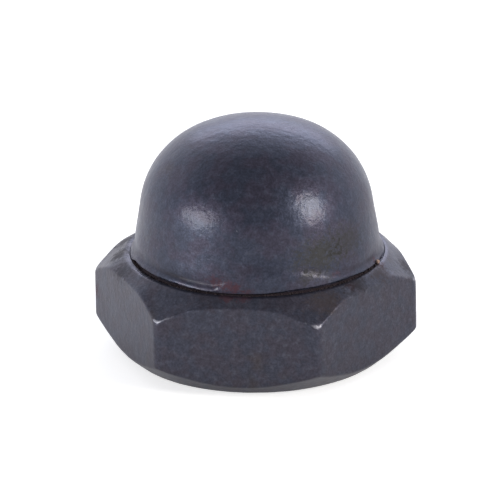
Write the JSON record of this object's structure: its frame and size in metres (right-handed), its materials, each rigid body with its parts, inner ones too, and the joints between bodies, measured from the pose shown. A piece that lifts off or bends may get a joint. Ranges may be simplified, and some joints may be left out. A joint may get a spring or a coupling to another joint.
{
  "type": "cap nut",
  "caption": "Low hexagon cap nut with a drawn sheet-steel dome seated in a shallow recess, metric coarse thread through the hexagon into the hollow cap.",
  "frame": {"origin": "middle of the nut's seat, at the level of the surface it stands on", "axes": "+Z along the thread's axis towards the crown, +X through a corner of the hexagon, +Y square to a flat"},
  "size_m": [0.0194, 0.017, 0.0144],
  "materials": {
    "nut_steel": "black oxide on steel, satin, worn bright at the corners, rust at the seam",
    "cap_steel": "black oxide on drawn sheet steel, satin with soft mottling"
  },
  "bodies": {
    "root": {"hex_nut": "nut_steel", "dome_cap": "cap_steel"}
  },
  "joints": []
}
